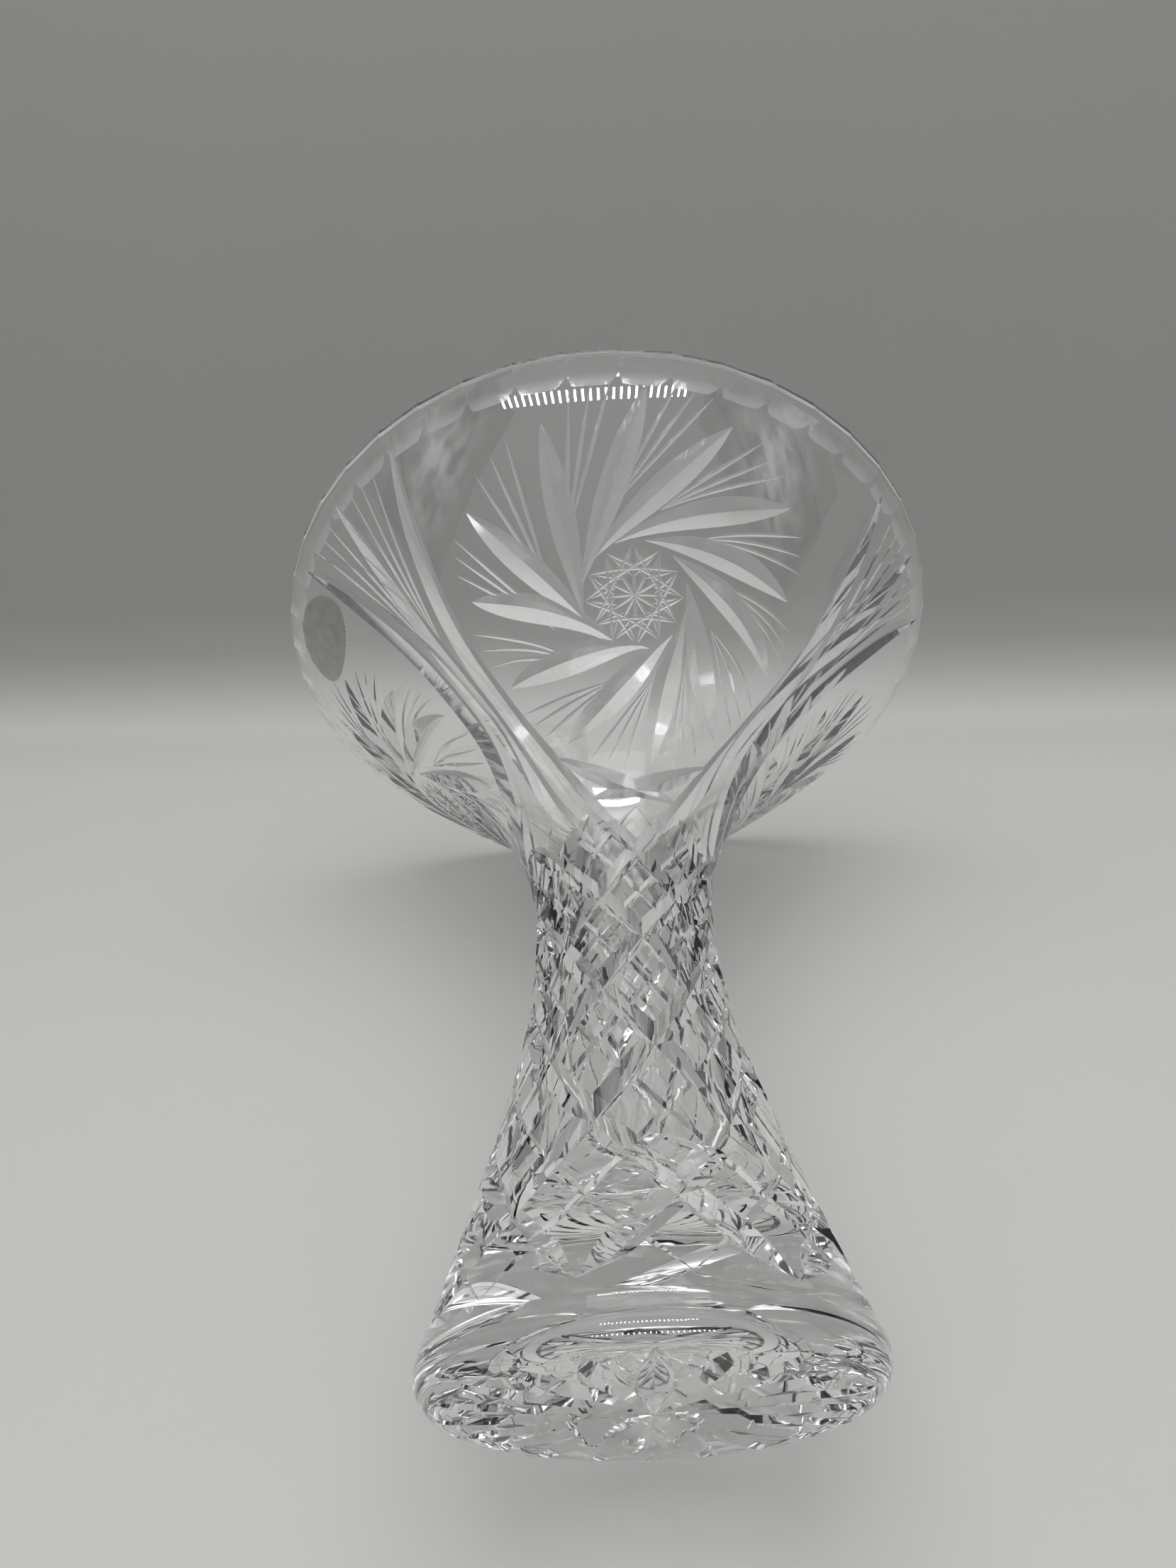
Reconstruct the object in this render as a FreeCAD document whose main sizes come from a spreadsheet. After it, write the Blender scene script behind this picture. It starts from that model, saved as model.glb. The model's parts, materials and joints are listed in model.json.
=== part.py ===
"""Cut crystal vase: a heavy mouth-blown glass body with wheel-cut ornament, and the oval paper
label stuck to the inside of its bowl.  Millimetres, +Z up, origin at the middle of the foot."""
import math
import os

import FreeCAD
import Part
import Sketcher

Vector = FreeCAD.Vector

DIMENSIONS = (
    ("vase_height", 250.0),
    ("rim_radius", 115.8),
    ("waist_radius", 25.5),
    ("waist_height", 124.0),
    ("foot_flat_radius", 44.4),
    ("foot_round", 7.5),
    ("foot_cone_sweep", 976.0),
    ("stem_sweep", 200.0),
    ("neck_sweep", 87.0),
    ("bowl_sweep", 1500.0),
    ("cavity_rim_radius", 110.0),
    ("cavity_waist_radius", 17.5),
    ("cavity_waist_height", 121.0),
    ("cavity_floor_height", 23.0),
    ("cavity_floor_round", 18.0),
    ("cavity_stem_sweep", 250.0),
    ("cavity_neck_sweep", 96.0),
    ("cavity_bowl_sweep", 1500.0),
    ("star_rays", 20.0),
    ("star_inner_radius", 6.0),
    ("star_outer_radius", 49.0),
    ("star_depth", 2.2),
    ("star_width", 6.0),
    ("rim_facets", 45.0),
    ("rim_facet_drop", 4.0),
    ("rim_facet_inset", 2.4),
    ("panels", 3.0),
    ("pinwheel_height", 198.0),
    ("pinwheel_blades", 12.0),
    ("blade_inner_radius", 16.0),
    ("blade_outer_radius", 52.3),
    ("blade_rise", 9.0),
    ("blade_stretch", 4.3),
    ("blade_lean_degrees", 72.0),
    ("blade_width", 7.4),
    ("blade_depth", 1.7),
    ("fan_width", 7.5),
    ("fan_depth", 2.0),
    ("lattice_count", 7.0),
    ("lattice_width", 5.0),
    ("lattice_depth", 1.8),
    ("label_length", 36.0),
    ("label_width", 23.0),
    ("label_thickness", 0.3),
    ("label_centre_height", 237.0),
    ("label_azimuth_degrees", -86.0),
)

# Heights of the lattice's rows of crossings, from the foot to the neck.
LATTICE_ROWS = (13.0, 31.5, 51.5, 72.0, 90.0, 106.5, 120.0, 134.0)

# An outer leaf of a fan, from the neck to the rim: degrees from the fan's middle, and height.
FAN_LEAF = ((56, 136), (44, 142.5), (29, 152.5), (17.3, 165), (9, 180), (7, 200), (10.3, 222), (15.3, 244))
FAN_MIDDLE_LEAF = ((0, 158), (0, 180), (0, 200), (0, 222), (0, 245))

doc = FreeCAD.newDocument("CutCrystalVase")
sheet = doc.addObject("Spreadsheet::Sheet", "Dimensions")
for row, (alias, value) in enumerate(DIMENSIONS, start=1):
    sheet.set(f"A{row}", alias.replace("_", " "))
    sheet.set(f"B{row}", str(value))
    sheet.setAlias(f"B{row}", alias)
doc.recompute()


def size(alias):
    return float(sheet.get(alias))


def circles_meet(centre_a, radius_a, centre_b, radius_b, side):
    """The crossing of two circles on the left (side 1) or right (side -1) of the line a to b."""
    gap = centre_b - centre_a
    along = (gap.Length ** 2 + radius_a ** 2 - radius_b ** 2) / (2 * gap.Length)
    across = math.sqrt(radius_a ** 2 - along ** 2)
    unit = gap / gap.Length
    return centre_a + unit * along + Vector(-unit.y, unit.x, 0) * (side * across)


def towards(start, end, distance):
    return start + (end - start).normalize() * distance


class Wall:
    """Half outline of a wall of revolution in the sketch plane (x radius, y height)."""

    def __init__(self, prefix, rim_radius):
        self.waist = Vector(size(prefix + "waist_radius"), size(prefix + "waist_height"), 0)
        self.rim = Vector(rim_radius, size("vase_height"), 0)
        self.neck_radius = size(prefix + "neck_sweep")
        self.bowl_radius = size(prefix + "bowl_sweep")
        self.stem_radius = size(prefix + "stem_sweep")
        self.neck = self.waist + Vector(self.neck_radius, 0, 0)
        self.stem = self.waist + Vector(self.stem_radius, 0, 0)
        reach = self.neck_radius + self.bowl_radius
        self.bowl = circles_meet(self.neck, reach, self.rim, self.bowl_radius, 1)
        self.neck_end = towards(self.neck, self.bowl, self.neck_radius)

    def radius_at(self, height):
        if height >= self.neck_end.y:
            return self.bowl.x + math.sqrt(self.bowl_radius ** 2 - (height - self.bowl.y) ** 2)
        centre, sweep = (self.neck, self.neck_radius) if height >= self.waist.y else self.low_arc(height)
        return centre.x - math.sqrt(sweep ** 2 - (height - centre.y) ** 2)

    def low_arc(self, height):
        return self.stem, self.stem_radius

    def point(self, azimuth, height):
        radius = self.radius_at(height)
        return Vector(radius * math.sin(azimuth), -radius * math.cos(azimuth), height)

    def normal(self, azimuth, height):
        step = 0.5
        slope = (self.radius_at(height + step) - self.radius_at(height - step)) / (2 * step)
        return Vector(math.sin(azimuth), -math.cos(azimuth), -slope).normalize()


class OuterWall(Wall):
    def __init__(self):
        super().__init__("", size("rim_radius"))
        self.round = size("foot_round")
        self.cone_radius = size("foot_cone_sweep")
        self.round_centre = Vector(size("foot_flat_radius"), self.round, 0)
        self.cone = circles_meet(self.stem, self.cone_radius - self.stem_radius,
                                 self.round_centre, self.cone_radius + self.round, 1)
        self.stem_end = towards(self.cone, self.stem, self.cone_radius)
        self.foot_end = towards(self.round_centre, self.cone, self.round)

    def low_arc(self, height):
        if height >= self.stem_end.y:
            return self.stem, self.stem_radius
        return self.cone, self.cone_radius


outer = OuterWall()
cavity = Wall("cavity_", size("cavity_rim_radius"))
floor_round = size("cavity_floor_round")
corner_height = size("cavity_floor_height") + floor_round
corner_gap = math.sqrt((cavity.stem_radius + floor_round) ** 2 - (cavity.stem.y - corner_height) ** 2)
corner = Vector(cavity.stem.x - corner_gap, corner_height, 0)
corner_end = towards(corner, cavity.stem, floor_round)


def origin_feature(body, role):
    return next(item for item in body.Origin.OriginFeatures if item.Role == role)


def new_sketch(body, name, plane="XZ_Plane", offset=None):
    sketch = body.newObject("Sketcher::SketchObject", name)
    sketch.AttachmentSupport = [(origin_feature(body, plane), "")]
    sketch.MapMode = "FlatFace"
    if offset:
        sketch.AttachmentOffset = offset
    return sketch


def arc(centre, start, end):
    """The short arc from start to end about centre, as sketch geometry, and which end comes first."""
    begin = math.atan2(start.y - centre.y, start.x - centre.x)
    finish = math.atan2(end.y - centre.y, end.x - centre.x)
    turn = (finish - begin + math.pi) % (2 * math.pi) - math.pi
    circle = Part.Circle(centre, Vector(0, 0, 1), (start - centre).Length)
    if turn > 0:
        return Part.ArcOfCircle(circle, begin, begin + turn), (1, 2)
    return Part.ArcOfCircle(circle, finish, finish - turn), (2, 1)


def line(start, end):
    return Part.LineSegment(start, end), (1, 2)


def bind(sketch, kind, targets, alias):
    """Add a dimension whose value is a cell of the sheet."""
    index = sketch.addConstraint(Sketcher.Constraint(kind, *targets, size(alias)))
    sketch.setExpression(f"Constraints[{index}]", f"Dimensions.{alias}")


def glass_outline(body):
    """The closed half section: foot, stem, neck, bowl, rim, and the cavity back down to the axis."""
    sketch = new_sketch(body, "GlassOutline")
    axis_foot = Vector(0, 0, 0)
    flat_end = Vector(size("foot_flat_radius"), 0, 0)
    floor_end = Vector(corner.x, size("cavity_floor_height"), 0)
    axis_floor = Vector(0, size("cavity_floor_height"), 0)
    pieces = [
        line(axis_foot, flat_end),
        arc(outer.round_centre, flat_end, outer.foot_end),
        arc(outer.cone, outer.foot_end, outer.stem_end),
        arc(outer.stem, outer.stem_end, outer.waist),
        arc(outer.neck, outer.waist, outer.neck_end),
        arc(outer.bowl, outer.neck_end, outer.rim),
        line(outer.rim, cavity.rim),
        arc(cavity.bowl, cavity.rim, cavity.neck_end),
        arc(cavity.neck, cavity.neck_end, cavity.waist),
        arc(cavity.stem, cavity.waist, corner_end),
        arc(corner, corner_end, floor_end),
        line(floor_end, axis_floor),
        line(axis_floor, axis_foot),
    ]
    foot, foot_arc, cone, stem, neck, bowl, rim, in_bowl, in_neck, in_stem, in_corner, floor, axis = range(13)
    smooth = {foot, foot_arc, cone, stem, neck, in_bowl, in_neck, in_stem, in_corner}
    for geometry, _ in pieces:
        sketch.addGeometry(geometry, False)
    for index, (_, ends) in enumerate(pieces):
        following = (index + 1) % len(pieces)
        kind = "Tangent" if index in smooth else "Coincident"
        sketch.addConstraint(Sketcher.Constraint(kind, index, ends[1], following, pieces[following][1][0]))
    origin = (-1, 1)
    sketch.addConstraint(Sketcher.Constraint("Coincident", foot, 1, *origin))
    for flat in (foot, rim, floor):
        sketch.addConstraint(Sketcher.Constraint("Horizontal", flat))
    sketch.addConstraint(Sketcher.Constraint("Vertical", axis))
    for level_arc in (neck, in_neck):
        waist_end = pieces[level_arc][1][0 if level_arc == neck else 1]
        sketch.addConstraint(Sketcher.Constraint("Horizontal", level_arc, 3, level_arc, waist_end))
    for index, alias in ((foot_arc, "foot_round"), (cone, "foot_cone_sweep"), (stem, "stem_sweep"),
                         (neck, "neck_sweep"), (bowl, "bowl_sweep"), (in_bowl, "cavity_bowl_sweep"),
                         (in_neck, "cavity_neck_sweep"), (in_stem, "cavity_stem_sweep"),
                         (in_corner, "cavity_floor_round")):
        bind(sketch, "Radius", (index,), alias)
    waist = (neck, pieces[neck][1][0])
    in_waist = (in_neck, pieces[in_neck][1][1])
    for kind, point, alias in (
            ("DistanceX", (foot, 2), "foot_flat_radius"),
            ("DistanceX", waist, "waist_radius"), ("DistanceY", waist, "waist_height"),
            ("DistanceX", (rim, 1), "rim_radius"), ("DistanceY", (rim, 1), "vase_height"),
            ("DistanceX", (rim, 2), "cavity_rim_radius"),
            ("DistanceX", in_waist, "cavity_waist_radius"),
            ("DistanceY", in_waist, "cavity_waist_height"),
            ("DistanceY", (floor, 2), "cavity_floor_height")):
        bind(sketch, kind, (*origin, *point), alias)
    return sketch


def glass_blank():
    """The blown glass as it comes from the mould, turned from its half section."""
    body = doc.addObject("PartDesign::Body", "GlassBlank")
    outline = glass_outline(body)
    doc.recompute()
    revolution = body.newObject("PartDesign::Revolution", "GlassRevolution")
    revolution.Profile = outline
    revolution.ReferenceAxis = (outline, ["V_Axis"])
    revolution.Angle = 360
    body.Tip = revolution
    return body


def regular_polygon(sides, inner_radius, height):
    """A level polygon whose sides stand inner_radius from the axis."""
    corner_radius = inner_radius / math.cos(math.pi / sides)
    turns = [2 * math.pi * (side + 0.5) / sides for side in range(sides)]
    corners = [Vector(corner_radius * math.cos(turn), corner_radius * math.sin(turn), height)
               for turn in turns]
    return Part.makePolygon(corners + corners[:1])


def rim_facets():
    """What the flat wheel grinds off the outer corner of the rim: one slanting flat for each facet."""
    sides = int(size("rim_facets"))
    top = size("vase_height")
    low = top - size("rim_facet_drop")
    low_radius, top_radius = outer.radius_at(low), size("rim_radius") - size("rim_facet_inset")
    lean = (low_radius - top_radius) / size("rim_facet_drop")
    over = 2.0
    cone = Part.makeLoft([regular_polygon(sides, low_radius + over * lean, low - over),
                          regular_polygon(sides, top_radius - over * lean, top + over)], True, True)
    collar_height = size("rim_facet_drop") + 2 * over
    collar = Part.makeCylinder(1.2 * size("rim_radius"), collar_height, Vector(0, 0, low - over))
    return collar.cut(cone)


def mitre_section(point, normal, along, width, depth):
    """A V across a cut: its edge at depth below the wall, its shoulders clear above the wall."""
    across = normal.cross(along).normalize()
    proud = 1.5
    half = width / 2 * (1 + proud / depth)
    top = point + normal * proud
    return Part.makePolygon([point - normal * depth, top + across * half, top - across * half,
                             point - normal * depth])


def mitre_cut(points, normals, width, depth):
    """A V-cut through points on a surface with outward normals, fading out at both ends."""
    sections = []
    last = len(points) - 1
    for index, (point, normal) in enumerate(zip(points, normals)):
        swell = max(0.08, math.sin(math.pi * index / last) ** 0.7)
        along = points[min(index + 1, last)] - points[max(index - 1, 0)]
        sections.append(mitre_section(point, normal, along, width * swell, depth * swell))
    return Part.makeLoft(sections, True, True)


def wall_cut(path, width, depth):
    """A V-cut along a path of (azimuth, height) places on the outer wall."""
    points = [outer.point(*place) for place in path]
    normals = [outer.normal(*place) for place in path]
    return mitre_cut(points, normals, width, depth)


def star_cuts():
    """The star of leaf-shaped rays under the foot."""
    cuts = []
    count = int(size("star_rays"))
    inner, reach = size("star_inner_radius"), size("star_outer_radius") - size("star_inner_radius")
    for ray in range(count):
        turn = 2 * math.pi * ray / count
        outwards = Vector(math.cos(turn), math.sin(turn), 0)
        points = [outwards * (inner + reach * step / 4) for step in range(5)]
        cuts.append(mitre_cut(points, [Vector(0, 0, -1)] * 5, size("star_width"), size("star_depth")))
    return cuts


def slant_height(height, climb):
    """The height reached by going climb along the wall from height."""
    steps = 20
    for _ in range(steps):
        slope = (outer.radius_at(height + 0.5) - outer.radius_at(height - 0.5))
        height += climb / steps / math.hypot(1, slope)
    return height


def pinwheel_cuts(azimuth):
    """Twelve leaf-shaped cuts that lean round a ring, like a turning wheel."""
    cuts = []
    count = int(size("pinwheel_blades"))
    inner, outer_reach = size("blade_inner_radius"), size("blade_outer_radius")
    lean = math.radians(size("blade_lean_degrees"))
    middle = size("pinwheel_height")
    for blade in range(count):
        turn = 2 * math.pi * blade / count
        reach = outer_reach - size("blade_stretch") * math.sin(turn)
        start = Vector(inner * math.cos(turn + lean), inner * math.sin(turn + lean), 0)
        end = Vector(reach * math.cos(turn), reach * math.sin(turn) + size("blade_rise"), 0)
        path = []
        for step in range(5):
            spot = start + (end - start) * (step / 4)
            height = slant_height(middle, spot.y)
            radius = (outer.radius_at(height) + outer.radius_at(middle)) / 2
            path.append((azimuth + spot.x / radius, height))
        cuts.append(wall_cut(path, size("blade_width"), size("blade_depth")))
    return cuts


def fan_leaf(azimuth, side, route):
    """One long leaf of a fan, on the left (side -1) or right (side 1) of the fan's middle."""
    path = [(azimuth + side * math.radians(spread), height) for spread, height in route]
    return wall_cut(path, size("fan_width"), size("fan_depth"))


def lattice_cuts():
    """The crossed slanting cuts round the stem, one leaf for each side of each diamond."""
    cuts = []
    count = int(size("lattice_count"))
    half_pitch = math.pi / count
    short = 0.12
    for row, (low, high) in enumerate(zip(LATTICE_ROWS, LATTICE_ROWS[1:])):
        for place in range(count):
            start = 2 * half_pitch * place + (row + 1) % 2 * half_pitch
            for side in (-1, 1):
                path = []
                for fraction in (short, 0.5, 1 - short):
                    path.append((start + side * half_pitch * fraction, low + (high - low) * fraction))
                cuts.append(wall_cut(path, size("lattice_width"), size("lattice_depth")))
    return cuts


def cut_away(glass, name, cuts):
    """Take a group of cuts that don't cross each other out of the glass."""
    tool = doc.addObject("Part::Feature", name)
    tool.Shape = Part.makeCompound(cuts)
    remaining = doc.addObject("Part::Cut", "After" + name)
    remaining.Base = glass
    remaining.Tool = tool
    return remaining


def crystal_body():
    panels = [2 * math.pi * panel / size("panels") for panel in range(int(size("panels")))]
    fans = [panel + math.pi / size("panels") for panel in panels]
    glass = cut_away(glass_blank(), "RimFacets", [rim_facets()])
    blades = [blade for panel in panels for blade in pinwheel_cuts(panel)]
    glass = cut_away(glass, "StarLatticeAndPinwheels", star_cuts() + lattice_cuts() + blades)
    glass = cut_away(glass, "LeftLeaves", [fan_leaf(fan, -1, FAN_LEAF) for fan in fans])
    glass = cut_away(glass, "RightLeaves", [fan_leaf(fan, 1, FAN_LEAF) for fan in fans])
    glass = cut_away(glass, "MiddleLeaves", [fan_leaf(fan, 1, FAN_MIDDLE_LEAF) for fan in fans])
    glass.Label = "crystal_body"
    return glass


def paper_label():
    """A thin oval that follows the inside of the bowl, with its glued side on the glass."""
    azimuth = math.radians(size("label_azimuth_degrees"))
    height = size("label_centre_height")
    thickness = size("label_thickness")
    centre = cavity.point(azimuth, height)
    normal = cavity.normal(azimuth, height)
    slack = 3.0
    reach = size("label_width") / 2 + slack
    outline = []
    for wall in (0, -thickness):
        arc_radius = cavity.bowl_radius + wall
        ends = []
        for end in (-1, 0, 1):
            level = height + end * reach
            across = math.sqrt(arc_radius ** 2 - (level - cavity.bowl.y) ** 2)
            ends.append(Vector(cavity.bowl.x + across, 0, level))
        outline.append(ends)
    wall_side, free_side = outline
    edges = [
        Part.Arc(*wall_side).toShape(),
        Part.LineSegment(wall_side[2], free_side[2]).toShape(),
        Part.Arc(*reversed(free_side)).toShape(),
        Part.LineSegment(free_side[0], wall_side[0]).toShape(),
    ]
    skin = doc.addObject("Part::Feature", "LabelSkin")
    skin.Shape = Part.Face(Part.Wire(edges)).revolve(Vector(), Vector(0, 0, 1), 360)

    oval = doc.addObject("Part::Ellipse", "LabelOval")
    oval.setExpression("MajorRadius", "Dimensions.label_length / 2")
    oval.setExpression("MinorRadius", "Dimensions.label_width / 2")
    sideways = Vector(math.cos(azimuth), math.sin(azimuth), 0)
    upward = normal.cross(sideways).normalize()
    if upward.z < 0:
        upward = upward * -1
    inward = sideways.cross(upward)
    turn = FreeCAD.Rotation(sideways, upward, inward, "XYZ")
    depth = 8.0
    oval.Placement = FreeCAD.Placement(centre - inward * depth, turn)
    prism = doc.addObject("Part::Extrusion", "LabelPrism")
    prism.Base = oval
    prism.DirMode = "Custom"
    prism.Dir = inward
    prism.LengthFwd = 2 * depth
    prism.Solid = True
    label = doc.addObject("Part::Common", "PaperLabel")
    label.Base = skin
    label.Tool = prism
    label.Label = "paper_label"
    return label


pieces = [crystal_body(), paper_label()]
doc.recompute()

for item in doc.Objects:
    if "Invalid" in item.State or "Error" in item.State:
        raise RuntimeError(f"{item.Label} failed to build: {item.State}")
os.makedirs("parts", exist_ok=True)
for piece in pieces:
    shape = piece.Shape
    if shape.isNull() or not shape.isValid():
        raise RuntimeError(f"{piece.Label} has no valid shape")
    print(f"{piece.Label}: {len(shape.Solids)} solid, {shape.Volume:.0f} mm3, "
          f"{shape.BoundBox.XLength:.1f} x {shape.BoundBox.YLength:.1f} x {shape.BoundBox.ZLength:.1f}")
    shape.exportStep(f"parts/{piece.Label}.step")
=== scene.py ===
import json
import math

import bpy
from mathutils import Matrix, Vector

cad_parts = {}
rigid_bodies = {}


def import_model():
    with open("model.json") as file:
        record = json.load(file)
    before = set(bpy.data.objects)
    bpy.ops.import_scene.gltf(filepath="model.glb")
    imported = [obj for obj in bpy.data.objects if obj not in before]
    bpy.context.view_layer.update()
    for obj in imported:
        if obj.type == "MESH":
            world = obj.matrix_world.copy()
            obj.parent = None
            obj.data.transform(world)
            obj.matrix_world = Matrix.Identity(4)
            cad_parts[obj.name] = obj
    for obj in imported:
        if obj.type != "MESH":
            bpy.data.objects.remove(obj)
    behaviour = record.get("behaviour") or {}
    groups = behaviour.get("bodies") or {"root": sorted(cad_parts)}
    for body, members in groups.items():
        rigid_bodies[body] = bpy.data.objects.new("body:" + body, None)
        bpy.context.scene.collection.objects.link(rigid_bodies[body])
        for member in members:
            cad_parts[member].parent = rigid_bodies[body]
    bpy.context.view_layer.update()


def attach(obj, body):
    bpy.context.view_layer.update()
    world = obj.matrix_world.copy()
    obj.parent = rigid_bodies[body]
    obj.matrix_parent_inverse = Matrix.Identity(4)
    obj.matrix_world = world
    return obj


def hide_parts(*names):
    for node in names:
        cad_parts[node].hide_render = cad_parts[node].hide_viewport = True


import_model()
MM = 0.001


# The blown glass. Molten lead crystal is gathered, blown into a mould and opened out, which leaves
# a heavy foot, a narrow waist and a wide flaring bowl. Its half outline is a stack of smooth arcs.

HEIGHT, RIM_RADIUS = 250 * MM, 115.8 * MM
WAIST_RADIUS, WAIST_HEIGHT = 25.5 * MM, 124 * MM
FOOT_FLAT_RADIUS, FOOT_ROUND = 44.4 * MM, 7.5 * MM
CONE_SWEEP, STEM_SWEEP, NECK_SWEEP, BOWL_SWEEP = 976 * MM, 200 * MM, 87 * MM, 1500 * MM
CAVITY_RIM_RADIUS, CAVITY_WAIST_RADIUS, CAVITY_WAIST_HEIGHT = 110 * MM, 17.5 * MM, 121 * MM
CAVITY_FLOOR, CAVITY_ROUND = 23 * MM, 18 * MM
CAVITY_STEM_SWEEP, CAVITY_NECK_SWEEP, CAVITY_BOWL_SWEEP = 250 * MM, 96 * MM, 1500 * MM
LIP_ROUND = 0.9 * MM
LIP = Vector((CAVITY_RIM_RADIUS + LIP_ROUND, HEIGHT - LIP_ROUND))
LIP_TURN, LIP_DROP = math.pi * 0.72, 1.6 * LIP_ROUND
TURN_STEPS, OUTER_RINGS, CAVITY_RINGS, ROUND_RINGS = 240, 84, 78, 12


def circles_meet(centre_a, radius_a, centre_b, radius_b):
    """The crossing of two circles on the left of the line from a to b."""
    gap = centre_b - centre_a
    along = (gap.length ** 2 + radius_a ** 2 - radius_b ** 2) / (2 * gap.length)
    across = math.sqrt(radius_a ** 2 - along ** 2)
    unit = gap.normalized()
    return centre_a + unit * along + Vector((-unit.y, unit.x)) * across


class Wall:
    """A wall of revolution: arcs from the bottom up, each (top height, centre, sweep, side)."""

    def __init__(self, arcs):
        self.arcs = arcs

    def arc(self, height):
        return next((arc for arc in self.arcs if height <= arc[0]), self.arcs[-1])

    def radius(self, height):
        _, centre, sweep, side = self.arc(height)
        return centre.x + side * math.sqrt(max(sweep ** 2 - (height - centre.y) ** 2, 0))

    def place(self, azimuth, height, lift=0.0):
        """The point at an azimuth from -Y towards +X, lifted off the wall along its normal."""
        radius = self.radius(height)
        point = Vector((radius * math.sin(azimuth), -radius * math.cos(azimuth), height))
        return point + self.normal(azimuth, height) * lift

    def normal(self, azimuth, height):
        _, centre, sweep, side = self.arc(height)
        out = side * (self.radius(height) - centre.x) / sweep
        rise = side * (height - centre.y) / sweep
        return Vector((out * math.sin(azimuth), -out * math.cos(azimuth), rise))

    def climb(self, height, distance):
        """The height reached by going a distance up along the wall, in short steps."""
        steps = 16
        for _ in range(steps):
            height += distance / steps * self.normal(0, height).xy.length
        return height


def wall_arcs(rim, waist, stem_sweep, neck_sweep, bowl_sweep):
    """The centre of the stem arc, and the concave neck and convex bowl arcs that end at the rim."""
    neck = waist + Vector((neck_sweep, 0))
    bowl = circles_meet(neck, neck_sweep + bowl_sweep, rim, bowl_sweep)
    join = neck + (bowl - neck).normalized() * neck_sweep
    stem = waist + Vector((stem_sweep, 0))
    return stem, [(join.y, neck, neck_sweep, -1), (1.0, bowl, bowl_sweep, 1)]


def outer_wall():
    """The outside, with the centre of the rounded heel and the spot where the wall leaves it."""
    waist = Vector((WAIST_RADIUS, WAIST_HEIGHT))
    stem, upper = wall_arcs(Vector((RIM_RADIUS, HEIGHT)), waist, STEM_SWEEP, NECK_SWEEP, BOWL_SWEEP)
    heel = Vector((FOOT_FLAT_RADIUS, FOOT_ROUND))
    cone = circles_meet(stem, CONE_SWEEP - STEM_SWEEP, heel, CONE_SWEEP + FOOT_ROUND)
    cone_end = cone + (stem - cone).normalized() * CONE_SWEEP
    heel_end = heel + (cone - heel).normalized() * FOOT_ROUND
    lower = [(cone_end.y, cone, CONE_SWEEP, -1), (WAIST_HEIGHT, stem, STEM_SWEEP, -1)]
    return Wall(lower + upper), heel, heel_end


def cavity_wall():
    """The cavity, with the centre of its rounded corner and the spot where the wall leaves it."""
    waist = Vector((CAVITY_WAIST_RADIUS, CAVITY_WAIST_HEIGHT))
    stem, upper = wall_arcs(Vector((CAVITY_RIM_RADIUS, HEIGHT)), waist, CAVITY_STEM_SWEEP,
                            CAVITY_NECK_SWEEP, CAVITY_BOWL_SWEEP)
    corner_height = CAVITY_FLOOR + CAVITY_ROUND
    reach = math.sqrt((CAVITY_STEM_SWEEP + CAVITY_ROUND) ** 2 - (stem.y - corner_height) ** 2)
    corner = Vector((stem.x - reach, corner_height))
    corner_end = corner + (stem - corner).normalized() * CAVITY_ROUND
    return Wall([(CAVITY_WAIST_HEIGHT, stem, CAVITY_STEM_SWEEP, -1)] + upper), corner, corner_end


OUTER, HEEL, HEEL_END = outer_wall()
CAVITY, CORNER, CORNER_END = cavity_wall()


def spread(low, high, count):
    return [low + (high - low) * step / count for step in range(count + 1)]


def swept(centre, radius, start, end, count):
    return [centre + Vector((math.cos(turn), math.sin(turn))) * radius
            for turn in spread(start, end, count)]


def glass_outline():
    """Half section points from the middle of the foot, up the outside and down the cavity."""
    heel_turn = math.atan2(HEEL_END.y - HEEL.y, HEEL_END.x - HEEL.x)
    corner_turn = math.atan2(CORNER_END.y - CORNER.y, CORNER_END.x - CORNER.x)
    points = [Vector((radius, 0)) for radius in spread(0, FOOT_FLAT_RADIUS, 6)][:-1]
    points += swept(HEEL, FOOT_ROUND, -math.pi / 2, heel_turn, ROUND_RINGS)[:-1]
    points += [Vector((OUTER.radius(level), level)) for level in spread(HEEL_END.y, HEIGHT, OUTER_RINGS)]
    points += swept(LIP, LIP_ROUND, math.pi / 2, LIP_TURN, 3)
    points += [Vector((CAVITY.radius(level), level))
               for level in spread(HEIGHT - LIP_DROP, CORNER_END.y, CAVITY_RINGS)]
    points += swept(CORNER, CAVITY_ROUND, corner_turn, -math.pi / 2, ROUND_RINGS)[1:]
    points += [Vector((radius, CAVITY_FLOOR)) for radius in spread(CORNER.x, 0, 3)][1:]
    return points


def deselect():
    if bpy.context.object and bpy.context.object.mode != "OBJECT":
        bpy.ops.object.mode_set(mode="OBJECT")
    bpy.ops.object.select_all(action="DESELECT")


def outline_object(name, points):
    """An open chain of edges through points, to be turned or extruded."""
    mesh = bpy.data.meshes.new(name)
    edges = [(index, index + 1) for index in range(len(points) - 1)]
    mesh.from_pydata([tuple(point) for point in points], edges, [])
    piece = bpy.data.objects.new(name, mesh)
    bpy.context.scene.collection.objects.link(piece)
    return piece


def activate(piece):
    deselect()
    piece.select_set(True)
    bpy.context.view_layer.objects.active = piece


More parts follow.
